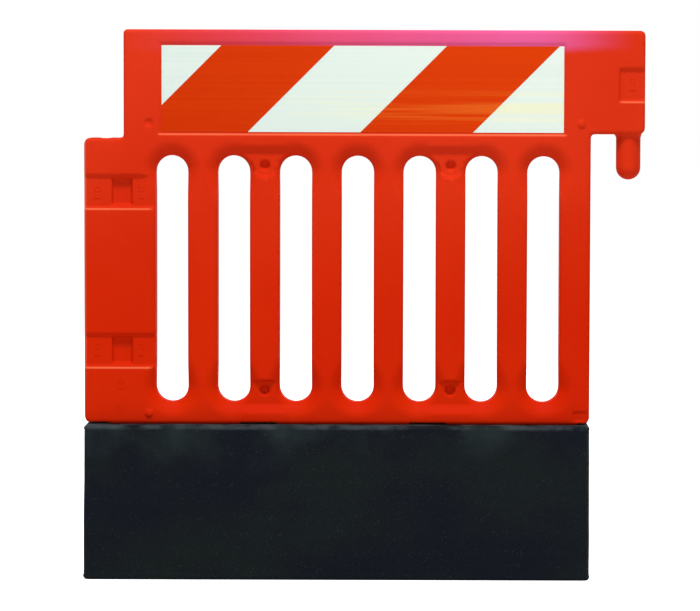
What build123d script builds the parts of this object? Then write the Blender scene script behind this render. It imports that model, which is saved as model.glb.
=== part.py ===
from build123d import *
import os
from math import radians, sin, tan

# Pedestrian barrier: a blow-moulded slotted panel, screwed down on a full-width ballast base
# X runs along the panel, Y from front to back and Z up, and the front faces -Y
# The origin is the centre of the base's underside, and all sizes are in millimetres

# Panel outline
overall_height = 1000
grid_length = 923
panel_thickness = 60
beam_height = 197.5
shoulder_length = 72
arm_reach = 98.5
coupling_gap = 9
grid_corner_radius = 14
shoulder_corner_radius = 11
beam_corner_radius = 7
arm_top_radius = 9
arm_bottom_radius = 12
inner_corner_radius = 6
edge_break = 4

# Slots between the bars, with a scoop round each end
slot_count = 7
slot_width = 59
left_pillar_width = 130
right_pillar_width = 56
bottom_rail_height = 40
slot_top_drop = 31.5
scoop_reach = 53
scoop_slope_run = 20
scoop_depth = 13

# Recessed pads, level with the scoops' floors, that join the ends of two slots, each with a kiss-off dimple
padded_bars = [2, 5]
lower_pad_rise = 35
lower_pad_step_run = 6
pad_dish_drop = 9
pad_dish_radius = 35
pad_dish_slope = 47
upper_kiss_off_drop = 18
lower_kiss_off_rise = 22
kiss_off_radius = 9.5
kiss_off_depth = 7

# Recess bands across the left pillar, each with a deeper pocket, and the like recess at the arm's end
band_drops = [35, 325]
band_height = 62
band_depth = 5
band_slope = 35
pocket_inset = 69
pocket_width = 37
pocket_height = 50
pocket_depth = 8
pocket_slope = 10
arm_recess_length = 48.5
arm_recess_drop = 68
end_overrun = 20

# Shallow notch at the grid's lower right corner
corner_notch_length = 31
corner_notch_height = 19
corner_notch_lift = 6
corner_notch_depth = 2.5

# Stacking marks on the front
mark_radius = 8
mark_height = 3.5
mark_taper = 40
left_mark_inset = 118
right_mark_inset = 17.5
upper_mark_rise = 27.5
lower_mark_rise = 20

# Reflective sheet with its diagonal stripes of film, and the recess that it lies in
sheet_thickness = 0.8
sheet_left_inset = 69.5
sheet_right_inset = 49.5
sheet_top_inset = 29
sheet_bottom_inset = 11.5
recess_depth = 3
recess_margin = 6
recess_slope = 53
film_thickness = 0.3
stripe_width = 145
stripe_angle = 45
first_stripe_inset = 30

# Coupling peg under the arm, and the socket for the next panel's peg in the shoulder
peg_radius = 22.5
peg_length = 83
peg_root = 8
peg_collar_reach = 2
peg_collar_drop = 3
peg_inset = 29
socket_clearance = 1.5
socket_spare_depth = 4
socket_lead_in = 2
socket_lead_in_slope = 45

# Seats along the panel's lower edge, and the tongues that stand in the base
seat_count = 3
seat_gap = 66
left_seat_inset = 43.5
right_seat_inset = 21.5
notch_height = 3
tongue_setback = 18
tongue_thickness = 44
tongue_depth = 68
tongue_taper = 1.5
tongue_corner = 8
tongue_lead_in = 3
tongue_clearance = 0.4
tongue_end_gap = 2

# Ballast base, cored out from below between cross ribs, one under its middle and one under each seat gap
base_height = 280
base_top_thickness = 116
base_bottom_thickness = 160
base_corner_radius = 12
base_edge_break = 4
base_wall = 28
deck_thickness = 45
core_taper = 4.5
rib_thickness = 24

# A screw from below through the base's deck into a hexagonal insert in each tongue
screw_rib_clearance = 50
screw_radius = 5
screw_engagement = 19
screw_head_flats = 16
screw_head_height = 6.4
screw_hole_clearance = 0.6
washer_size = 30
washer_thickness = 2
insert_flats = 17
insert_length = 24
insert_bore_clearance = 0.3
insert_seat_clearance = 0.1

# Places worked out from the sizes above
half_thickness = panel_thickness / 2
grid_left = -grid_length / 2
grid_right = grid_length / 2
beam_left = grid_left + shoulder_length
arm_right = grid_right + arm_reach
shoulder_height = overall_height - beam_height
arm_underside = shoulder_height + coupling_gap
slot_bottom = base_height + bottom_rail_height
slot_top = shoulder_height - slot_top_drop
slot_length = slot_top - slot_bottom
slot_middle = (slot_bottom + slot_top) / 2
first_slot = grid_left + left_pillar_width + slot_width / 2
last_slot = grid_right - right_pillar_width - slot_width / 2
slot_pitch = (last_slot - first_slot) / (slot_count - 1)
slot_places = [first_slot + i * slot_pitch for i in range(slot_count)]
scoop_rise = slot_length / 2 - slot_width / 2
pad_top = slot_middle + scoop_rise + scoop_reach
pad_foot = slot_middle - scoop_rise - scoop_reach
padded_places = [first_slot + (n - 0.5) * slot_pitch for n in padded_bars]
peg_x = arm_right - peg_inset
socket_x = grid_left + shoulder_length / 2
sheet_length = grid_right - sheet_right_inset - beam_left - sheet_left_inset
sheet_height = beam_height - sheet_top_inset - sheet_bottom_inset
sheet_x = beam_left + sheet_left_inset + sheet_length / 2
sheet_z = overall_height - sheet_top_inset - sheet_height / 2
stripe_run = stripe_width / sin(radians(stripe_angle))
stripe_lean = sheet_height / tan(radians(stripe_angle))
first_stripe_start = first_stripe_inset - sheet_length / 2
stripe_starts = [first_stripe_start, first_stripe_start + 2 * stripe_run]
seat_run = grid_length - left_seat_inset - right_seat_inset + seat_gap
seat_pitch = seat_run / seat_count
seat_length = seat_pitch - seat_gap
seat_places = [grid_left + left_seat_inset + seat_length / 2 + i * seat_pitch for i in range(seat_count)]
tongue_length = seat_length - 2 * tongue_setback
tongue_tip = base_height - tongue_depth
base_length = grid_length
core_height = tongue_tip - tongue_end_gap - deck_thickness
rib_places = sorted([0] + [x + seat_pitch / 2 for x in seat_places[:-1]])


def screw_place(seat):
    """A screw stands at its seat's middle, or where the middle rib is in its way, beside that rib."""
    if abs(seat) < screw_rib_clearance:
        return screw_rib_clearance
    return seat


screw_places = [screw_place(x) for x in seat_places]

# The front face's own plane looks out of the panel, so a cut into it has a minus depth
front_plane = Plane.XZ.offset(half_thickness)

os.makedirs("parts", exist_ok=True)


# Conical scoop round a slot's end
with BuildPart() as scoop:
    with BuildSketch(Plane.XY):
        with BuildLine():
            Polyline(
                (0, -half_thickness),
                (scoop_reach, -half_thickness),
                (scoop_reach - scoop_slope_run, scoop_depth - half_thickness),
                (0, scoop_depth - half_thickness),
                close=True,
            )
        make_face()
    revolve(axis=Axis.Y)

# Pads between two slots: the scoops' slope runs across to a flat floor, which ends in a dished lip
# at the slots' upper ends and in a straight step at their lower ends
pad_floor = scoop_depth - half_thickness
lower_pad_top = slot_bottom + lower_pad_rise
with BuildPart() as upper_pad:
    with BuildSketch(Plane.YZ):
        with BuildLine():
            Polyline(
                (-half_thickness, pad_top),
                (pad_floor, pad_top - scoop_slope_run),
                (pad_floor, slot_top - pad_dish_drop),
                (-half_thickness, slot_top - pad_dish_drop),
                close=True,
            )
        make_face()
    extrude(amount=slot_pitch / 2, both=True)
    with BuildSketch(front_plane):
        with Locations((0, slot_top - pad_dish_drop)):
            Circle(pad_dish_radius)
    extrude(amount=-scoop_depth, taper=pad_dish_slope)

with BuildPart() as lower_pad:
    with BuildSketch(Plane.YZ):
        with BuildLine():
            Polyline(
                (-half_thickness, pad_foot),
                (pad_floor, pad_foot + scoop_slope_run),
                (pad_floor, lower_pad_top),
                (-half_thickness, lower_pad_top + lower_pad_step_run),
                close=True,
            )
        make_face()
    extrude(amount=slot_pitch / 2, both=True)

# What is hollowed out of the panel's front face, and again out of its back
with BuildPart() as relief:
    with Locations([(x, 0, slot_middle + side * scoop_rise) for x in slot_places for side in (-1, 1)]):
        add(scoop.part)
    with Locations([(x, 0, 0) for x in padded_places]):
        add(upper_pad.part)
        add(lower_pad.part)
    for band_top in [slot_top - drop for drop in band_drops]:
        band_length = first_slot - grid_left + end_overrun
        with BuildSketch(front_plane):
            with Locations((first_slot - band_length / 2, band_top - band_height / 2)):
                Rectangle(band_length, band_height)
        extrude(amount=-band_depth, taper=band_slope)
        with BuildSketch(front_plane.offset(-band_depth)):
            with Locations((grid_left + pocket_inset, band_top - band_height / 2)):
                Rectangle(pocket_width, pocket_height)
        extrude(amount=-pocket_depth, taper=pocket_slope)
    arm_cut = arm_recess_length + end_overrun
    arm_cut_x = arm_right + end_overrun - arm_cut / 2
    arm_cut_z = overall_height - arm_recess_drop - band_height / 2
    with BuildSketch(front_plane):
        with Locations((arm_cut_x, arm_cut_z)):
            Rectangle(arm_cut, band_height)
    extrude(amount=-band_depth, taper=band_slope)
    with BuildSketch(front_plane):
        with Locations((grid_right, base_height + corner_notch_lift + corner_notch_height / 2)):
            Rectangle(2 * corner_notch_length, corner_notch_height)
    extrude(amount=-corner_notch_depth, taper=band_slope)
    with BuildSketch(front_plane):
        with Locations((sheet_x, sheet_z)):
            Rectangle(sheet_length + 2 * recess_margin, sheet_height + 2 * recess_margin)
    extrude(amount=-recess_depth, taper=recess_slope)

rear_relief = mirror(relief.part, about=Plane.XZ)

# Blow-moulded panel with its bars, arm, peg, socket and tongues in one piece
with BuildPart() as panel_body:
    with BuildSketch(Plane.XZ):
        with BuildLine():
            FilletPolyline(
                (grid_left, base_height),
                (grid_right, base_height),
                (grid_right, arm_underside),
                (arm_right, arm_underside),
                (arm_right, overall_height),
                (beam_left, overall_height),
                (beam_left, shoulder_height),
                (grid_left, shoulder_height),
                radius=[
                    grid_corner_radius,
                    grid_corner_radius,
                    inner_corner_radius,
                    arm_bottom_radius,
                    arm_top_radius,
                    beam_corner_radius,
                    inner_corner_radius,
                    shoulder_corner_radius,
                ],
                close=True,
            )
        make_face()
        with Locations([(x, slot_middle) for x in slot_places]):
            SlotOverall(slot_length, slot_width, rotation=90, mode=Mode.SUBTRACT)
    extrude(amount=half_thickness, both=True)
    front_edges = panel_body.edges().filter_by_position(Axis.Y, -half_thickness, -half_thickness)
    rear_edges = panel_body.edges().filter_by_position(Axis.Y, half_thickness, half_thickness)
    chamfer(front_edges + rear_edges, length=edge_break)
    add(relief.part, mode=Mode.SUBTRACT)
    add(rear_relief, mode=Mode.SUBTRACT)

    # Notches between the seats
    with BuildSketch(Plane.XZ):
        with Locations((0, base_height + notch_height / 2)):
            Rectangle(grid_length, notch_height)
        with Locations([(x, base_height + notch_height / 2) for x in seat_places]):
            Rectangle(seat_length, notch_height, mode=Mode.SUBTRACT)
    extrude(amount=half_thickness, both=True, mode=Mode.SUBTRACT)

    # Tongues
    with BuildSketch(Plane.XY.offset(base_height)) as roots:
        with Locations([(x, 0) for x in seat_places]):
            Rectangle(tongue_length, tongue_thickness)
        chamfer(roots.vertices(), length=tongue_corner)
    extrude(amount=-tongue_depth, taper=tongue_taper)
    chamfer(panel_body.edges().filter_by_position(Axis.Z, tongue_tip, tongue_tip), length=tongue_lead_in)

    # Wells for the inserts
    with BuildSketch(Plane.XY.offset(tongue_tip)):
        with Locations([(x, 0) for x in screw_places]):
            RegularPolygon(insert_flats / 2 + insert_seat_clearance, 6, major_radius=False)
    extrude(amount=insert_length, mode=Mode.SUBTRACT)

    # Coupling peg with its round end, and the collar at its root
    peg_end = arm_underside - peg_length + peg_radius
    with BuildSketch(Plane.XY.offset(peg_end)):
        with Locations((peg_x, 0)):
            Circle(peg_radius)
    extrude(amount=arm_underside + peg_root - peg_end)
    with Locations((peg_x, 0, peg_end)):
        Sphere(peg_radius, arc_size1=-90, arc_size2=0, align=(Align.CENTER, Align.CENTER, Align.MAX))
    with BuildSketch(Plane.XY.offset(arm_underside - peg_collar_drop)):
        with Locations((peg_x, 0)):
            Circle(peg_radius + peg_collar_reach)
    extrude(amount=peg_collar_drop + peg_root)

    # Socket, with a lead-in at its mouth
    socket_radius = peg_radius + socket_clearance
    socket_depth = peg_length - coupling_gap + socket_spare_depth
    with BuildSketch(Plane.XY.offset(shoulder_height)):
        with Locations((socket_x, 0)):
            Circle(socket_radius)
    extrude(amount=-socket_depth, mode=Mode.SUBTRACT)
    with BuildSketch(Plane.XY.offset(shoulder_height)):
        with Locations((socket_x, 0)):
            Circle(socket_radius + socket_lead_in)
    extrude(amount=-socket_lead_in, taper=socket_lead_in_slope, mode=Mode.SUBTRACT)

    # Kiss-offs, sunk from the front to meet the back's wall
    kiss_off_heights = (slot_bottom + lower_kiss_off_rise, slot_top - upper_kiss_off_drop)
    kiss_off_places = [(x, z) for x in padded_places for z in kiss_off_heights]
    with BuildSketch(front_plane.offset(-scoop_depth)):
        with Locations(kiss_off_places):
            Circle(kiss_off_radius)
    extrude(amount=-kiss_off_depth, mode=Mode.SUBTRACT)

    # Stacking marks on the front: two bumps and a dimple
    with BuildSketch(front_plane):
        with Locations(
            (grid_right - right_mark_inset, shoulder_height + upper_mark_rise),
            (grid_left + left_mark_inset, base_height + lower_mark_rise),
        ):
            Circle(mark_radius)
    extrude(amount=mark_height, taper=mark_taper)
    with BuildSketch(front_plane):
        with Locations((grid_left + left_mark_inset, shoulder_height + upper_mark_rise)):
            Circle(mark_radius)
    extrude(amount=-mark_height, taper=mark_taper, mode=Mode.SUBTRACT)

# Reflective sheet on the floor of its recess, drawn as the front one
sheet_plane = front_plane.offset(-recess_depth)
with BuildPart() as front_sheet:
    with BuildSketch(sheet_plane):
        with Locations((sheet_x, sheet_z)):
            Rectangle(sheet_length, sheet_height)
    extrude(amount=sheet_thickness)

# The back carries the same sheet, turned half round about its own upright middle line
turn_about = Axis((sheet_x, 0, 0), (0, 0, 1))
rear_sheet = front_sheet.part.rotate(turn_about, 180)


def stripe_film(start):
    """Diagonal film stripe across the front sheet, from its start along the sheet's middle height."""
    with BuildPart() as film:
        with BuildSketch(sheet_plane.offset(sheet_thickness)):
            with Locations((sheet_x, sheet_z)):
                Rectangle(sheet_length, sheet_height)
            with Locations((sheet_x + start + stripe_run / 2, sheet_z)):
                Polygon(
                    (-stripe_run / 2 - stripe_lean / 2, -sheet_height / 2),
                    (stripe_run / 2 - stripe_lean / 2, -sheet_height / 2),
                    (stripe_run / 2 + stripe_lean / 2, sheet_height / 2),
                    (-stripe_run / 2 + stripe_lean / 2, sheet_height / 2),
                    mode=Mode.INTERSECT,
                )
        extrude(amount=film_thickness)
    return film.part


# Ballast base: an upright block that widens towards the floor
with BuildPart() as ballast_base:
    with BuildSketch(Plane.XY):
        RectangleRounded(base_length, base_bottom_thickness, base_corner_radius)
    with BuildSketch(Plane.XY.offset(base_height)):
        RectangleRounded(base_length, base_top_thickness, base_corner_radius)
    loft(ruled=True)
    rims = ballast_base.edges().filter_by_position(Axis.Z, 0, 0)
    rims += ballast_base.edges().filter_by_position(Axis.Z, base_height, base_height)
    chamfer(rims, length=base_edge_break)

    # Pockets for the tongues
    with BuildSketch(Plane.XY.offset(base_height)) as mouths:
        with Locations([(x, 0) for x in seat_places]):
            Rectangle(tongue_length + 2 * tongue_clearance, tongue_thickness + 2 * tongue_clearance)
        chamfer(mouths.vertices(), length=tongue_corner)
    extrude(amount=-tongue_depth - tongue_end_gap, taper=tongue_taper, mode=Mode.SUBTRACT)

    # Cored bays between the cross ribs
    bay_starts = [base_wall - base_length / 2] + [x + rib_thickness / 2 for x in rib_places]
    bay_ends = [x - rib_thickness / 2 for x in rib_places] + [base_length / 2 - base_wall]
    for start, end in zip(bay_starts, bay_ends):
        with BuildSketch(Plane.XY):
            with Locations(((start + end) / 2, 0)):
                Rectangle(end - start, base_bottom_thickness - 2 * base_wall)
        extrude(amount=core_height, taper=core_taper, mode=Mode.SUBTRACT)

    # Screw holes through the deck
    with BuildSketch(Plane.XY.offset(core_height)):
        with Locations([(x, 0) for x in screw_places]):
            Circle(screw_radius + screw_hole_clearance)
    extrude(amount=deck_thickness + tongue_end_gap, mode=Mode.SUBTRACT)

# Hex screws with their heads below the deck
with BuildPart() as fixing_screws:
    head_top = core_height - washer_thickness
    with BuildSketch(Plane.XY.offset(head_top)):
        with Locations([(x, 0) for x in screw_places]):
            RegularPolygon(screw_head_flats / 2, 6, major_radius=False)
    extrude(amount=-screw_head_height)
    with BuildSketch(Plane.XY.offset(head_top)):
        with Locations([(x, 0) for x in screw_places]):
            Circle(screw_radius)
    extrude(amount=washer_thickness + deck_thickness + tongue_end_gap + screw_engagement)

# Square plate washers between the heads and the deck
with BuildPart() as fixing_washers:
    with BuildSketch(Plane.XY.offset(core_height)):
        with Locations([(x, 0) for x in screw_places]):
            Rectangle(washer_size, washer_size)
            Circle(screw_radius + screw_hole_clearance, mode=Mode.SUBTRACT)
    extrude(amount=-washer_thickness)

# Hexagonal inserts in the tongues
with BuildPart() as threaded_inserts:
    with BuildSketch(Plane.XY.offset(tongue_tip)):
        with Locations([(x, 0) for x in screw_places]):
            RegularPolygon(insert_flats / 2, 6, major_radius=False)
            Circle(screw_radius + insert_bore_clearance, mode=Mode.SUBTRACT)
    extrude(amount=insert_length)

pieces = {
    "panel_body": panel_body.part,
    "front_reflective_sheet": front_sheet.part,
    "rear_reflective_sheet": rear_sheet,
    "ballast_base": ballast_base.part,
    "fixing_screws": fixing_screws.part,
    "fixing_washers": fixing_washers.part,
    "threaded_inserts": threaded_inserts.part,
}
for name, start in zip(("left", "right"), stripe_starts):
    film = stripe_film(start)
    pieces[f"front_orange_film_{name}"] = film
    pieces[f"rear_orange_film_{name}"] = film.rotate(turn_about, 180)

for name, piece in pieces.items():
    piece.label = name
    export_step(piece, f"parts/{name}.step")
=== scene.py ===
# %% [markdown]
# # Pedestrian barrier panel
# A blow-moulded orange panel with seven slots and a striped reflective sheet stands on a black
# ballast base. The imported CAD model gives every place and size. This lesson gives each piece its
# real surface: rounded moulded edges, fine relief marks, plastic, reflective sheeting, recycled
# rubber and zinc.

from math import cos, pi, radians, sin

import bpy
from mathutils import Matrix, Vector


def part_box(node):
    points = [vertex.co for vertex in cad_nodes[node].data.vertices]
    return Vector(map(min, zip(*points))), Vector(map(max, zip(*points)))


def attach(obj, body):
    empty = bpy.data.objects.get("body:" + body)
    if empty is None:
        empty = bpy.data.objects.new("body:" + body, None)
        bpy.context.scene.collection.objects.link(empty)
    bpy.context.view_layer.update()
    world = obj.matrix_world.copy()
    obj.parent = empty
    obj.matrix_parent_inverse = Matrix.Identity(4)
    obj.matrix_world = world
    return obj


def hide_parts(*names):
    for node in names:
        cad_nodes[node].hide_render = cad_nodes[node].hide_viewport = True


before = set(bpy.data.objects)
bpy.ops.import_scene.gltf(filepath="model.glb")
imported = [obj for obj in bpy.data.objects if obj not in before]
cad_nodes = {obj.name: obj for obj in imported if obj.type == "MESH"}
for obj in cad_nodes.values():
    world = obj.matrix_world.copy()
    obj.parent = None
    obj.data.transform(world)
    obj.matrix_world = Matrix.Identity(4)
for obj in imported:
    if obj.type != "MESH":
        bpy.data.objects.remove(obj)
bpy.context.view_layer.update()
print("nodes:", sorted(cad_nodes))

# %% [markdown]
# ## Camera
# The photograph shows the barrier almost square on through a long lens, from a little under the
# height of its top. A Track To constraint could aim the camera, but that would turn it sideways
# and slant the barrier. So its place and turn are given directly, a little to the right of the
# middle, and a small shift of the lens frames the picture.

# %% Camera
camera_place = (0.140, -6.5, 0.900)
camera_pitch = 3.55
camera_roll = -0.18
camera_data = bpy.data.cameras.new("camera")
camera_data.sensor_width = 36
camera_data.lens = 182.7
camera_data.shift_x = -0.0922
camera_data.clip_end = 200
camera = bpy.data.objects.new("camera", camera_data)
bpy.context.scene.collection.objects.link(camera)
camera.location = camera_place
camera.rotation_euler = (radians(90 - camera_pitch), radians(camera_roll), 0)
bpy.context.scene.camera = camera
print("camera at", tuple(camera.location))

# %% [markdown]
# ## Helpers for modelling
# Blender's operators act on whatever is selected, so each step starts by deselecting everything
# and making one object active. A modifier is applied at once, because a finished piece is plain
# mesh.


# %% Helpers for modelling
def select_only(thing):
    """Deselects everything and makes this object the active one."""
    bpy.ops.object.select_all(action="DESELECT")
    thing.select_set(True)
    bpy.context.view_layer.objects.active = thing


def apply_modifier(piece, kind, **settings):
    """Adds a modifier, sets it up and applies it."""
    select_only(piece)
    modifier = piece.modifiers.new(kind.lower(), kind)
    for name, value in settings.items():
        setattr(modifier, name, value)
    bpy.ops.object.modifier_apply(modifier=modifier.name)


def count_triangles(piece):
    """How many triangles the piece's faces come to."""
    return sum(len(face.vertices) - 2 for face in piece.data.polygons)


# %% Helpers for copying and remeshing
merge_distance = 0.00001


def copy_of_node(node, name):
    """A copy of a CAD node's mesh as a new object, with its loose triangles joined."""
    piece = bpy.data.objects.new(name, cad_nodes[node].data.copy())
    bpy.context.scene.collection.objects.link(piece)
    piece.data.materials.clear()
    select_only(piece)
    bpy.ops.object.mode_set(mode="EDIT")
    bpy.ops.mesh.select_all(action="SELECT")
    bpy.ops.mesh.remove_doubles(threshold=merge_distance)
    bpy.ops.object.mode_set(mode="OBJECT")
    return piece


def remesh(piece, square):
    """Remakes the piece's surface from even squares of this size."""
    select_only(piece)
    piece.data.remesh_voxel_size = square
    bpy.ops.object.voxel_remesh()


def thin_out(piece, triangles):
    """Leaves about this many triangles, most of them where the surface bends."""
    apply_modifier(piece, "TRIANGULATE")
    apply_modifier(piece, "DECIMATE", ratio=triangles / count_triangles(piece))
    select_only(piece)
    bpy.ops.object.shade_smooth()


# %% [markdown]
# ## Moulded panel
# Blow moulding blows a soft tube of plastic out against a cold mould, so no edge of the real
# panel is sharp. Bevelling every edge of a form with fourteen scoops on each face would break
# where they meet. So the copy is remeshed into even small squares, smoothed like wax, and thinned
# again where it is flat.

# %% Panel: remesh
panel_square = 0.0022
panel = copy_of_node("panel_body", "moulded_panel")
remesh(panel, panel_square)
print("panel squares:", len(panel.data.polygons))

# %% [markdown]
# ### Bell mouths round the slots' ends
# On the real moulding the front runs into each end of a slot like the mouth of a bell, and two
# pairs of slots share a sunk plate between their ends, with a dimple where the mould presses
# front and back together. The CAD cuts cones there, which leave hard rings. A sculptor would rub
# them away by hand. Here each point near a slot is moved in or out to a depth worked out from its
# place, on both faces.


# %% Two slopes
def slope(value, low, high):
    """0 below low, 1 above high and straight between."""
    return min(1.0, max(0.0, (value - low) / (high - low)))


def ease(value, low, high):
    """0 below low, 1 above high and an easy curve between."""
    straight = slope(value, low, high)
    return straight * straight * (3 - 2 * straight)


# %% Where a point is, seen from the slots
half_panel = 0.030
slot_count = 7
first_slot_x = -0.302
slot_pitch = 0.113
slot_radius = 0.0295
upper_arc_z = 0.7415
lower_arc_z = 0.3495
plate_places = (first_slot_x + 1.5 * slot_pitch, first_slot_x + 4.5 * slot_pitch)


def from_slot(x, z):
    """How far beyond the nearest slot's edge the point is, and beyond its end arc's centre."""
    slot = min(slot_count - 1, max(0, round((x - first_slot_x) / slot_pitch)))
    along = x - first_slot_x - slot * slot_pitch
    upright = max(z - upper_arc_z, lower_arc_z - z)
    reach = (along**2 + max(upright, 0) ** 2) ** 0.5
    return reach - slot_radius, upright


def from_plate(x):
    """How far to the side of the nearer line of sunk plates the point is."""
    return min(abs(x - place) for place in plate_places)


# %% Depth of the CAD's relief at a slot's wall
cone_floor = 0.0130
cone_floor_radius = 0.033
cone_rim_radius = 0.053
edge_chamfer = 0.004


def wall_start(along, upright):
    """How deep the CAD's wall of a slot starts, at the cones and at the chamfers between them."""
    reach = ((along + slot_radius) ** 2 + upright**2) ** 0.5
    cone = cone_floor * (1 - slope(reach, cone_floor_radius, cone_rim_radius))
    return max(cone, edge_chamfer)


# %% Bell mouths
bell_depth = 0.0150
bell_reach = 0.028
bell_curve = 1.8
bell_fade = (-0.065, 0.008)
edge_radius = 0.005


def bell(beyond, upright):
    """A bell mouth round a slot's end, which fades down the slot's side to a rounded edge."""
    fade = ease(upright, *bell_fade)
    flare = (1 - slope(beyond, 0, edge_radius + (bell_reach - edge_radius) * fade)) ** bell_curve
    mouth = bell_depth * flare * fade
    inward = max(0.0, edge_radius - max(0.0, beyond))
    edge = edge_radius - (edge_radius**2 - inward**2) ** 0.5
    return max(mouth, edge)


# %% Sunk plates and dimples
plate_depth = 0.0090
plate_head = (0.7776, 0.792)
plate_head_curve = 1.5
plate_lip_centre = 0.762
plate_lip = (0.026, 0.034)
plate_foot = (0.300, 0.316)
plate_step = (0.3565, 0.362)
dimple_places = (0.753, 0.342)
dimple_depth = 0.010
dimple_radii = (0.005, 0.0110)


def plate(x, z, front):
    """The sunk plates between two slots' ends, with their lips, steps and dimples."""
    across = from_plate(x)
    if across > slot_pitch / 2:
        return 0.0
    reach = (across**2 + (z - plate_lip_centre) ** 2) ** 0.5
    if z > plate_lip_centre:
        depth = plate_depth * (1 - slope(z, *plate_head)) ** plate_head_curve
    elif z > plate_step[1]:
        depth = plate_depth * (1 - ease(reach, *plate_lip))
    else:
        depth = plate_depth * slope(z, *plate_foot) * (1 - ease(z, *plate_step))
    if front:
        middle = min(abs(z - place) for place in dimple_places)
        depth += dimple_depth * (1 - ease((across**2 + middle**2) ** 0.5, *dimple_radii))
    return depth


# %% The bands that run into the first slot
band_places = (0.705, 0.415)
band_half_height = 0.031
band_slope = 0.0035
band_depth = 0.005


def band(x, z):
    """The recess bands on the left pillar, which end at the first slot."""
    if x > first_slot_x:
        return 0.0
    away = min(abs(z - place) for place in band_places)
    return band_depth * (1 - slope(away, band_half_height - band_slope, band_half_height))


# %% The new depth of a point
wall_margin = 0.0015


def pressed_in(point, beyond, upright):
    """How deep the point lies after the relief: a wall's points are spread over its new length."""
    depth = half_panel - abs(point.y)
    floor = max(
        bell(beyond, upright), plate(point.x, point.z, point.y < 0), band(point.x, point.z)
    )
    if beyond >= wall_margin:
        return floor
    start = max(wall_start(min(0.0, beyond), min(0.0, upright)), band(point.x, point.z))
    return floor + (depth - start) * (half_panel - floor) / (half_panel - start)


# %% Panel: press the relief in
plate_reach = 0.055
plate_heights = (0.296, 0.795)
moved = 0
for vertex in panel.data.vertices:
    x, y, z = vertex.co
    beyond, upright = from_slot(x, z)
    near_plate = from_plate(x) < slot_pitch / 2 and plate_heights[0] < z < plate_heights[1]
    if beyond > (plate_reach if near_plate else bell_reach):
        continue
    depth = pressed_in(vertex.co, beyond, upright)
    vertex.co.y = (depth - half_panel) if y < 0 else (half_panel - depth)
    moved += 1
remesh(panel, panel_square)
print("points pressed in:", moved, "squares now:", len(panel.data.polygons))

# %% [markdown]
# ### Softened edges
# The Smooth modifier rounds every edge by a few squares. It would also round the recess in which
# each reflective sheet lies, so a vertex group leaves the recess floors out, and the sheets still
# lie on them. Decimate then takes the squares away that a flat face doesn't need.

# %% Panel: where it may soften
sheet_low, sheet_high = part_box("front_reflective_sheet")
rear_sheet_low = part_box("rear_reflective_sheet")[0]
recess_side_margin = 0.0012
recess_floor_margin = 0.0015


def behind_a_sheet(point):
    """Whether the point is on the floor of the recess behind one of the two sheets."""
    along = sheet_low.x - recess_side_margin < point.x < sheet_high.x + recess_side_margin
    upright = sheet_low.z - recess_side_margin < point.z < sheet_high.z + recess_side_margin
    front = abs(point.y - sheet_high.y) < recess_floor_margin
    rear = abs(point.y - rear_sheet_low.y) < recess_floor_margin
    return along and upright and (front or rear)


soft_points = [point.index for point in panel.data.vertices if not behind_a_sheet(point.co)]
panel.vertex_groups.new(name="soft").add(soft_points, 1.0, "REPLACE")
print("points that may soften:", len(soft_points), "of", len(panel.data.vertices))

# %% Panel: smooth and thin
panel_smoothing_rounds = 8
panel_triangles = 180000
apply_modifier(
    panel, "SMOOTH", factor=0.5, iterations=panel_smoothing_rounds, vertex_group="soft"
)
thin_out(panel, panel_triangles)
panel.vertex_groups.clear()
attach(panel, "panel")
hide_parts("panel_body")
print("panel triangles:", count_triangles(panel))

# %% [markdown]
# ## Ballast base
# The base is cast from recycled rubber and plastic. Its faces are slightly uneven and its edges
# are worn round. The same remesh gives it enough squares to carry that unevenness, which a cloud
# texture then presses in, only inwards and only on its outer faces, so that it stays the size of
# the CAD solid.

# %% Base: remesh and wear
base_square = 0.003
base_smoothing_rounds = 4
base = copy_of_node("ballast_base", "cast_base")
remesh(base, base_square)
apply_modifier(base, "SMOOTH", factor=0.5, iterations=base_smoothing_rounds)
print("base squares:", len(base.data.polygons))

# %% Base: unevenness
unevenness = bpy.data.textures.new("unevenness", "CLOUDS")
unevenness.noise_scale = 0.11
unevenness_depth = 0.0018
outer_side = 0.050
outer_end = 0.440
face_heights = (0.008, 0.272)


def on_outer_face(point):
    """Whether the point is on the base's outside, away from its upper and lower edges."""
    outside = abs(point.y) > outer_side or abs(point.x) > outer_end
    return outside and face_heights[0] < point.z < face_heights[1]


outer_points = [point.index for point in base.data.vertices if on_outer_face(point.co)]
base.vertex_groups.new(name="outer").add(outer_points, 1.0, "REPLACE")
apply_modifier(
    base,
    "DISPLACE",
    texture=unevenness,
    mid_level=0.0,
    strength=-unevenness_depth,
    vertex_group="outer",
)
base.vertex_groups.clear()
print("points made uneven:", len(outer_points))

# %% Base: thin
base_triangles = 90000
thin_out(base, base_triangles)
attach(base, "base")
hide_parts("ballast_base")
print("base triangles:", count_triangles(base))

# %% [markdown]
# ## Writing materials as sums
# A material is a net of nodes. Drawn by hand it soon tangles, so a small class wraps a socket,
# and sums on it add the Math nodes. Any other node comes from one method, which sets it up and
# links it. The world has such a net too.


# %% A socket that can be reckoned with
class Value:
    """One output of a net's nodes. Sums on it add Math nodes."""

    def __init__(self, net, socket):
        self.net = net
        self.socket = socket

    def math(self, operation, *terms):
        return self.net.node("ShaderNodeMath", {"operation": operation}, dict(enumerate(terms)))

    def __add__(self, other):
        return self.math("ADD", self, other)

    def __sub__(self, other):
        return self.math("SUBTRACT", self, other)

    def __rsub__(self, other):
        return self.math("SUBTRACT", other, self)

    def __mul__(self, other):
        return self.math("MULTIPLY", self, other)

    def __abs__(self):
        return self.math("ABSOLUTE", self)

    def sine(self):
        return self.math("SINE", self)

    __radd__ = __add__
    __rmul__ = __mul__


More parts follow.
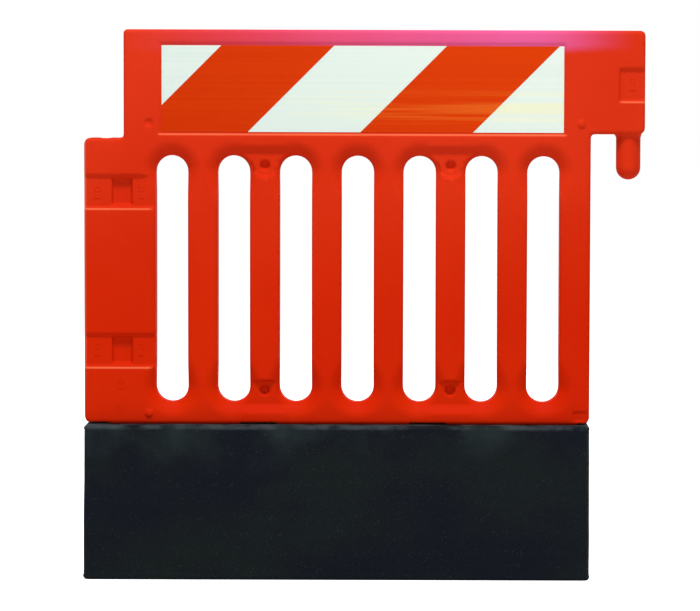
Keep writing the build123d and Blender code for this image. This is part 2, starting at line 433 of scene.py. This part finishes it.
# %% A net of nodes
class Net:
    """The nodes of a material or of the world, under construction."""

    def __init__(self, owner):
        self.owner = owner
        self.owner.use_nodes = True
        self.tree = owner.node_tree
        self.tree.nodes.clear()

    def node(self, kind, settings=None, inputs=None, output=0):
        """Adds a node, sets it up, gives its sockets values or links, and returns one output."""
        made = self.tree.nodes.new(kind)
        for name, setting in (settings or {}).items():
            setattr(made, name, setting)
        for name, given in (inputs or {}).items():
            if isinstance(given, Value):
                self.tree.links.new(given.socket, made.inputs[name])
            else:
                made.inputs[name].default_value = given
        return Value(self, made.outputs[output]) if made.outputs else None

    def seen(self):
        """1 where the eye, a reflection or glass shows the surface, and 0 where it only lights."""
        rays = ("Is Camera Ray", "Is Glossy Ray", "Is Transmission Ray")
        looks, mirrors, passes = (self.node("ShaderNodeLightPath", output=ray) for ray in rays)
        return looks + mirrors + passes


# %% A finish
class Finish(Net):
    """A material under construction."""

    def __init__(self, name):
        super().__init__(bpy.data.materials.new(name))
        self.place = self.node("ShaderNodeTexCoord", output="Object")

    def axis(self, letter):
        """One coordinate of the surface point, in metres."""
        return self.node("ShaderNodeSeparateXYZ", {}, {"Vector": self.place}, letter)

    def noise(self, scale, detail=2.0, stretch=(1, 1, 1)):
        """Noise with this many waves a metre, from 0 to 1, which may be stretched."""
        placed = self.node("ShaderNodeMapping", {}, {"Vector": self.place, "Scale": stretch})
        inputs = {"Vector": placed, "Scale": scale, "Detail": detail}
        return self.node("ShaderNodeTexNoise", {}, inputs)

    def ease(self, value, low, high):
        """0 below low and 1 above high, with an easy slope between."""
        inputs = {"Value": value, "From Min": low, "From Max": high}
        return self.node("ShaderNodeMapRange", {"interpolation_type": "SMOOTHSTEP"}, inputs)

    def blend(self, mask, first, second):
        """The first colour where the mask is 0 and the second where it is 1."""
        inputs = {0: mask, 6: first, 7: second}
        return self.node("ShaderNodeMix", {"data_type": "RGBA"}, inputs, 2)

    def bump(self, height, distance):
        """Relief too fine for the mesh."""
        inputs = {"Height": height, "Distance": distance}
        return self.node("ShaderNodeBump", {}, inputs, "Normal")

    def surface(self, **sockets):
        """Ends the material with its shader, whose sockets have underscores for spaces here."""
        inputs = {name.replace("_", " "): given for name, given in sockets.items()}
        shader = self.node("ShaderNodeBsdfPrincipled", {}, inputs, "BSDF")
        self.node("ShaderNodeOutputMaterial", {}, {"Surface": shader})
        return self.owner


# %% [markdown]
# ## Moulded orange plastic
# Polyethylene coloured through, with a faint orange-peel skin from the mould, mottled in broad
# soft patches. The colour grows paler towards the top: old polyethylene fades where the sun
# reaches it, and a painted sheen stands for the light from above as well. The pink over the sheet
# is a painted glare, and thin bright lines along the ledges and the left end are painted
# highlights. They are painted into the colour so that plain soft lamps are enough.

# %% Orange: mottled, and paler towards the top, with a painted sheen
lower_shades = ((0.53, 0.0140, 0.0001, 1), (0.56, 0.0185, 0.0003, 1))
# Upper shades: sun-faded plastic together with a painted sheen of the light from above.
faded_and_sheen_shades = ((0.58, 0.0260, 0.0045, 1), (0.62, 0.0330, 0.0080, 1))
faded_and_sheen_heights = (0.45, 0.95)
patch_waves = 3.5
peel_waves = 260.0
mottle_range = (0.3, 0.7)
plastic = Finish("moulded_orange_plastic")
patches = plastic.noise(patch_waves, detail=3.0)
peel = plastic.noise(peel_waves)
height = plastic.axis("Z")
length = plastic.axis("X")
mottle = plastic.ease(patches, *mottle_range)
lower_tone = plastic.blend(mottle, *lower_shades)
faded_and_sheen = plastic.blend(mottle, *faded_and_sheen_shades)
skin = plastic.blend(plastic.ease(height, *faded_and_sheen_heights), lower_tone, faded_and_sheen)
print("nodes in the mottled skin:", len(plastic.tree.nodes))

# %% Orange: painted pink glare on the rail over the sheet
# Painted glare: the rail over the sheet is tinted pink where the light glances off it.
rail_glare_pink = (0.70, 0.100, 0.280, 1)
glare_heights = (0.970, 0.990)
glare_from = (-0.44, 0.36)
glare_until = (0.36, 0.55)
glare_edge_waver = 0.03
least_glare = 0.72
patchy_glare = 0.4
glare_span = plastic.ease(length, *glare_from) * (1 - plastic.ease(length, *glare_until))
rail = plastic.ease(height + patches * glare_edge_waver, *glare_heights) * glare_span
skin = plastic.blend(rail * (patches * patchy_glare + least_glare), skin, rail_glare_pink)
print("nodes with the rail:", len(plastic.tree.nodes))

# %% Orange: painted highlights along the ledges and the left end
# Painted highlights: thin bright lines where the ledges and the rounded left end catch the light.
highlight_orange = (0.86, 0.20, 0.085, 1)
highlight_width = (0.0007, 0.0026)
ledge_highlight_strength = 0.55
end_highlight_strength = 0.35
least_highlight = 0.4
band_ledges = (0.6728, 0.3828)
arm_ledge = 0.8700
sheet_ledge = 0.8095
left_end = -0.4595
end_heights = (0.30, 0.45)
pillar_right_side = (-0.345, -0.335)
arm_recess_side = (0.510, 0.520)
sheet_left_side = (-0.330, -0.322)
sheet_right_side = (0.412, 0.420)


def highlighted(place, centre):
    """1 on a thin line of painted highlight round this height or length, and 0 off it."""
    return 1 - plastic.ease(abs(place - centre), *highlight_width)


pillar_part = 1 - plastic.ease(length, *pillar_right_side)
arm_part = plastic.ease(length, *arm_recess_side)
beam_part = plastic.ease(length, *sheet_left_side)
beam_part = beam_part * (1 - plastic.ease(length, *sheet_right_side))
ledges = (highlighted(height, band_ledges[0]) + highlighted(height, band_ledges[1])) * pillar_part
ledges = ledges + highlighted(height, arm_ledge) * arm_part + highlighted(height, sheet_ledge) * beam_part
ends = highlighted(length, left_end) * plastic.ease(height, *end_heights)
lines = (ledges * ledge_highlight_strength + ends * end_highlight_strength) * (patches + least_highlight)
skin = plastic.blend(lines, skin, highlight_orange)
print("nodes with the pale lines:", len(plastic.tree.nodes))

# %% Orange: gloss and peel
peel_depth = 0.00008
least_rough = 0.50
patchy_rough = 0.10
plastic_material = plastic.surface(
    Base_Color=skin,
    Roughness=patches * patchy_rough + least_rough,
    Specular_IOR_Level=0.03,
    Specular_Tint=(1.0, 0.6, 0.9, 1),
    Normal=plastic.bump(peel, peel_depth),
)
panel.data.materials.append(plastic_material)
print("finish:", plastic_material.name)

# %% [markdown]
# ### Mould marks
# Small signs stand up about a millimetre where the mould was engraved: rings with a bar under each
# in the recesses, and at the pillar's foot a triangle of three bars over a fourth, and a dial with
# a hand. Sunk signs would be cut with a Boolean, but raised ones are simply laid on the surface,
# half sunk, and joined into one piece.

# %% Mould marks: ring and bar
mark_parts = []


def keep_part():
    """Applies the new part's place and turn, and keeps it for joining."""
    part = bpy.context.object
    bpy.ops.object.transform_apply(location=True, rotation=True, scale=True)
    mark_parts.append(part)
    return part


def raised_ring(x, z, floor, radius, thickness, flatness=0.7):
    """A flattened ring, half sunk into the floor."""
    bpy.ops.object.select_all(action="DESELECT")
    bpy.ops.mesh.primitive_torus_add(
        major_radius=radius,
        minor_radius=thickness,
        major_segments=32,
        minor_segments=10,
        location=(x, floor, z),
        rotation=(pi / 2, 0, 0),
    )
    bpy.context.object.scale = (1, 1, flatness)
    keep_part()


def raised_bar(x, z, floor, length, width, turn=0.0, rounding=0.35):
    """A bar with rounded edges, half sunk into the floor."""
    bpy.ops.object.select_all(action="DESELECT")
    bpy.ops.mesh.primitive_cube_add(size=1, location=(x, floor, z), rotation=(0, turn, 0))
    bpy.context.object.scale = (length, width, width)
    apply_modifier(keep_part(), "BEVEL", width=width * rounding, segments=3)


# %% Mould marks: rings and bars in the recesses
recess_floor = -0.025
left_column = -0.4375
right_column = -0.3575
band_rows = (0.7095, 0.4225)
arm_mark = (0.5365, 0.9085)
ring_size = (0.0046, 0.0011)
bar_size = (0.0110, 0.0020)
bar_drop = 0.0165
ring_places = [(x, z) for z in band_rows for x in (left_column, right_column)] + [arm_mark]
for x, z in ring_places:
    raised_ring(x, z, recess_floor, *ring_size)
    raised_bar(x, z - bar_drop, recess_floor, *bar_size)
print("rings with a bar:", len(ring_places))

# %% Mould marks: triangle at the pillar's foot
front_face = -0.030
marks_x = -0.3950
triangle_z = 0.3575
triangle_reach = 0.0038
side_size = (0.0085, 0.0016)
underline_drop = 0.0110
underline_size = (0.0120, 0.0016)
for turn in (0, 2 * pi / 3, 4 * pi / 3):
    side_x = marks_x + triangle_reach * sin(turn)
    side_z = triangle_z + triangle_reach * cos(turn)
    raised_bar(side_x, side_z, front_face, *side_size, turn)
raised_bar(marks_x, triangle_z - underline_drop, front_face, *underline_size)
print("parts so far:", len(mark_parts))

# %% Mould marks: dial, and all of them joined
dial_z = 0.3090
dial_size = (0.0062, 0.0009)
hand_size = (0.0095, 0.0016)
hand_turn = radians(60)
raised_ring(marks_x, dial_z, front_face, *dial_size)
raised_bar(marks_x, dial_z, front_face, *hand_size, hand_turn)
for part in mark_parts:
    part.select_set(True)
bpy.context.view_layer.objects.active = mark_parts[0]
bpy.ops.object.join()
mould_marks = bpy.context.object
mould_marks.name = "mould_marks"
bpy.ops.object.shade_smooth_by_angle(angle=radians(40))
mould_marks.data.materials.clear()
mould_marks.data.materials.append(plastic_material)
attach(mould_marks, "panel")
print("marks:", len(mark_parts), "triangles:", count_triangles(mould_marks))

# %% [markdown]
# ## Reflective sheeting
# The white sheet is prismatic film: clear plastic over thousands of tiny cube corners, sealed in
# a fine grid. It looks greenish white by day. The orange stripes are clear coloured film on the
# same sheet. The solids already have the right shape, so only their material is new. One function
# makes both finishes, because the film shows the sheet's grid and streaks through it.

# %% Sheeting: grid and streaks
grid_pitch = 0.0042
grid_depth = 0.00005
streak_waves = 9.0
streak_stretch = (0.35, 1, 6)
web_stretch = (0.6, 1, 170)
web_range = (0.35, 0.65)


def grid_cells(length, height):
    """The sheet's slanting grid: 0 on its lines and 1 in the middle of each cell."""
    grid_wave = 2 * pi / grid_pitch
    across = ((length + height) * grid_wave).sine()
    along = ((length - height) * grid_wave).sine()
    return abs(across * along)


def web_lines(finish):
    """Fine level lines, as the long web of plastic gets them when it is rolled."""
    return finish.ease(finish.noise(1.0, stretch=web_stretch), *web_range)


# %% Sheeting: glints
glint_foot = (0.822, 0.842)
glint_head = (0.872, 0.898)
glint_from = (-0.16, 0.05)
glint_stretch = (1.6, 1, 130)
glint_range = (0.42, 0.66)


def glints(finish, length, height):
    """Bright level lines in a strip along the sheet, strongest towards the arm."""
    strip = finish.ease(height, *glint_foot) * (1 - finish.ease(height, *glint_head))
    strip = strip * finish.ease(length, *glint_from)
    return strip * finish.ease(finish.noise(1.0, stretch=glint_stretch), *glint_range)


# %% Sheeting: the finish
slant_centre_z = 0.9
slant_length = 0.9
slant_height = 1.6
slant_range = (-0.42, 0.40)
slant_share = 0.6
streak_share = 0.1
web_share = 0.25
grid_share = 0.1
glint_share = 0.8
least_sheet_rough = 0.30
streaky_rough = 0.08


def sheeting(name, light, dark, glint):
    """Prismatic sheeting, darkest low down by the pillar and lightest high up by the arm."""
    finish = Finish(name)
    height = finish.axis("Z")
    length = finish.axis("X")
    cells = grid_cells(length, height)
    streaks = finish.noise(streak_waves, 3.0, streak_stretch)
    slant = length * slant_length + (height - slant_centre_z) * slant_height
    shade = finish.ease(slant, *slant_range) * slant_share + streaks * streak_share
    shade = shade + web_lines(finish) * web_share + cells * grid_share
    sheet = finish.blend(shade, dark, light)
    return finish.surface(
        Base_Color=finish.blend(glints(finish, length, height) * glint_share, sheet, glint),
        Roughness=streaks * streaky_rough + least_sheet_rough,
        Specular_IOR_Level=0.015,
        Normal=finish.bump(cells, grid_depth),
    )


# %% White sheet and orange film
white_material = sheeting(
    "white_reflective_sheeting",
    light=(0.69, 0.77, 0.69, 1),
    dark=(0.59, 0.69, 0.645, 1),
    glint=(0.76, 0.76, 0.50, 1),
)
orange_material = sheeting(
    "orange_film",
    light=(0.62, 0.042, 0.0008, 1),
    dark=(0.51, 0.026, 0.0004, 1),
    glint=(0.68, 0.110, 0.0100, 1),
)
for node, piece in cad_nodes.items():
    if "reflective_sheet" in node:
        piece.material_slots[0].material = white_material
    if "orange_film" in node:
        piece.material_slots[0].material = orange_material
print("finishes:", white_material.name, orange_material.name)

# %% [markdown]
# ## Recycled rubber
# Black crumb bound under pressure: matte, bluish where it is damp, speckled with paler crumbs, in
# paler grey patches near the top, and with a painted highlight in places along the top edge. A
# finer mesh could carry the crumbs, but at their size a Bump node looks the same and costs no
# triangles.

# %% Rubber: crumbs, damp patches and paler patches near the top
dry_shades = ((0.0040, 0.0062, 0.0068, 1), (0.0076, 0.0112, 0.0124, 1))
damp_shades = ((0.0026, 0.0038, 0.0072, 1), (0.0050, 0.0070, 0.0120, 1))
# Paler grey patches near the top of the base.
upper_patch_shade = (0.018, 0.028, 0.028, 1)
upper_patch_heights = (0.18, 0.28)
upper_patch_range = (0.45, 0.75)
crumb_waves = 900.0
crumb_range = (0.3, 0.8)
cloud_waves = 7.0
damp_waves = 4.5
damp_stretch = (1, 1, 1.6)
patchy_range = (0.35, 0.65)
rubber = Finish("recycled_rubber")
height = rubber.axis("Z")
crumbs = rubber.noise(crumb_waves)
clouds = rubber.noise(cloud_waves, detail=4.0)
grains = rubber.ease(crumbs, *crumb_range)
damp = rubber.ease(rubber.noise(damp_waves, 3.0, damp_stretch), *patchy_range)
tone = rubber.blend(damp, rubber.blend(grains, *dry_shades), rubber.blend(grains, *damp_shades))
upper_patches = rubber.ease(height, *upper_patch_heights) * rubber.ease(clouds, *upper_patch_range)
tone = rubber.blend(upper_patches, tone, upper_patch_shade)
print("nodes in the top_patched rubber:", len(rubber.tree.nodes))

# %% Rubber: painted highlight along the top edge, and paler crumbs
# Painted highlight: a lighter grey, in places along the top edge, where the top face catches the
# light.
top_edge_highlight_shade = (0.065, 0.080, 0.088, 1)
top_edge_highlight_heights = (0.2700, 0.2765)
top_edge_highlight_waves = 24.0
top_edge_highlight_share = 0.5
fleck_shade = (0.035, 0.042, 0.045, 1)
fleck_waves = 420.0
fleck_range = (0.66, 0.74)
fleck_share = 0.5
rubber_relief = 0.0005
cloud_relief = 2
least_rubber_rough = 0.72
crumb_rough = 0.15
top_edge_highlight_places = rubber.ease(rubber.noise(top_edge_highlight_waves, detail=3.0), *patchy_range)
top_edge_highlight = rubber.ease(height, *top_edge_highlight_heights) * top_edge_highlight_places
flecks = rubber.ease(rubber.noise(fleck_waves, detail=1.0), *fleck_range)
tone = rubber.blend(top_edge_highlight * top_edge_highlight_share, tone, top_edge_highlight_shade)
rubber_material = rubber.surface(
    Base_Color=rubber.blend(flecks * fleck_share, tone, fleck_shade),
    Roughness=crumbs * crumb_rough + least_rubber_rough,
    Specular_IOR_Level=0.06,
    Normal=rubber.bump(crumbs + clouds * cloud_relief, rubber_relief),
)
base.data.materials.append(rubber_material)
print("finish:", rubber_material.name)

# %% [markdown]
# ## Zinc and brass
# The screws and plate washers are zinc-plated steel with a clouded bright finish, and the inserts
# are turned brass. They hardly show on the standing barrier, but it can be turned over or taken
# apart.

# %% Zinc and brass
metal_cloud_waves = 160.0
metal_cloud_rough = 0.2
metal_grain_waves = 2500.0
metal_grain_depth = 0.00003
zinc_shades = ((0.52, 0.53, 0.55, 1), (0.72, 0.73, 0.74, 1))
brass_shades = ((0.62, 0.44, 0.18, 1), (0.80, 0.62, 0.30, 1))


def clouded_metal(name, shades, least_roughness):
    """Metal whose tone and gloss cloud from place to place."""
    finish = Finish(name)
    cloud = finish.noise(metal_cloud_waves, detail=3.0)
    return finish.surface(
        Base_Color=finish.blend(cloud, *shades),
        Metallic=1.0,
        Roughness=cloud * metal_cloud_rough + least_roughness,
        Normal=finish.bump(finish.noise(metal_grain_waves), metal_grain_depth),
    )


zinc_material = clouded_metal("zinc_plating", zinc_shades, least_roughness=0.25)
brass_material = clouded_metal("turned_brass", brass_shades, least_roughness=0.22)
for node in ("fixing_screws", "fixing_washers"):
    cad_nodes[node].material_slots[0].material = zinc_material
cad_nodes["threaded_inserts"].material_slots[0].material = brass_material
print("finishes:", zinc_material.name, brass_material.name)

# %% [markdown]
# ## Studio floor and surround
# A white floor runs out of sight under a white surround. Both are white to the eye, in
# reflections and through glass, and dimmer as lights, so that the lamps can model the form. The
# floor also glows a little less than white, because the lamps add the rest, and it keeps the
# barrier's shadow. Standard view shows each colour as it is written.

# %% Studio floor
floor_size = 60
floor_shades = ((0.70, 0.70, 0.70, 1), (0.73, 0.73, 0.73, 1))
floor_waves = 0.5
floor_glow = (0.86, 0.86, 0.86, 1)
no_glow = (0, 0, 0, 1)
bpy.context.scene.view_settings.view_transform = "Standard"
bpy.ops.object.select_all(action="DESELECT")
bpy.ops.mesh.primitive_plane_add(size=floor_size, location=(0, 0, 0))
floor = bpy.context.object
floor.name = "studio_floor"
floor_finish = Finish("studio_floor")
floor_material = floor_finish.surface(
    Base_Color=floor_finish.blend(floor_finish.noise(floor_waves), *floor_shades),
    Roughness=0.9,
    Specular_IOR_Level=0.0,
    Emission_Color=floor_finish.blend(floor_finish.seen(), no_glow, floor_glow),
    Emission_Strength=1.0,
)
floor.data.materials.append(floor_material)
print("floor:", floor_size, "metres wide")

# %% Surround
surround_light = 0.26
surround = Net(bpy.data.worlds.new("surround"))
bpy.context.scene.world = surround.owner
strength = surround.node(
    "ShaderNodeMapRange", {}, {"Value": surround.seen(), "To Min": surround_light, "To Max": 1.0}
)
background = surround.node(
    "ShaderNodeBackground", {}, {"Color": (1, 1, 1, 1), "Strength": strength}
)
surround.node("ShaderNodeOutputWorld", {}, {"Surface": background})
print("surround as a light:", surround_light)

# %% [markdown]
# ## Lamps
# A broad lamp overhead gives the scoops their shade, a smaller one above the camera fills them,
# and two behind light the back and the ends. Area lamps are chosen, because a sun or a point lamp
# would draw hard shadows that the photograph doesn't have.


# %% Lamps
def lamp(name, place, aim, width, height, power):
    """A soft box that looks at a point."""
    data = bpy.data.lights.new(name, "AREA")
    data.shape = "RECTANGLE"
    data.size = width
    data.size_y = height
    data.energy = power
    box = bpy.data.objects.new(name, data)
    bpy.context.scene.collection.objects.link(box)
    box.location = place
    box.rotation_euler = (Vector(aim) - Vector(place)).to_track_quat("-Z", "Y").to_euler()
    print(name, "watts:", power)


barrier_middle = (0, 0, 0.5)
barrier_slots = (0, 0, 0.7)
rear_watts = 120
lamp("overhead_lamp", (0.1, -3.0, 6.5), barrier_middle, width=3.4, height=1.3, power=440)
lamp("front_lamp", (0.04, -6.0, 1.7), barrier_slots, width=0.8, height=0.9, power=68)
lamp("rear_lamp_left", (-4.0, 3.5, 3.0), barrier_middle, width=1.5, height=1.5, power=rear_watts)
lamp("rear_lamp_right", (4.0, 3.5, 3.0), barrier_middle, width=1.5, height=1.5, power=rear_watts)
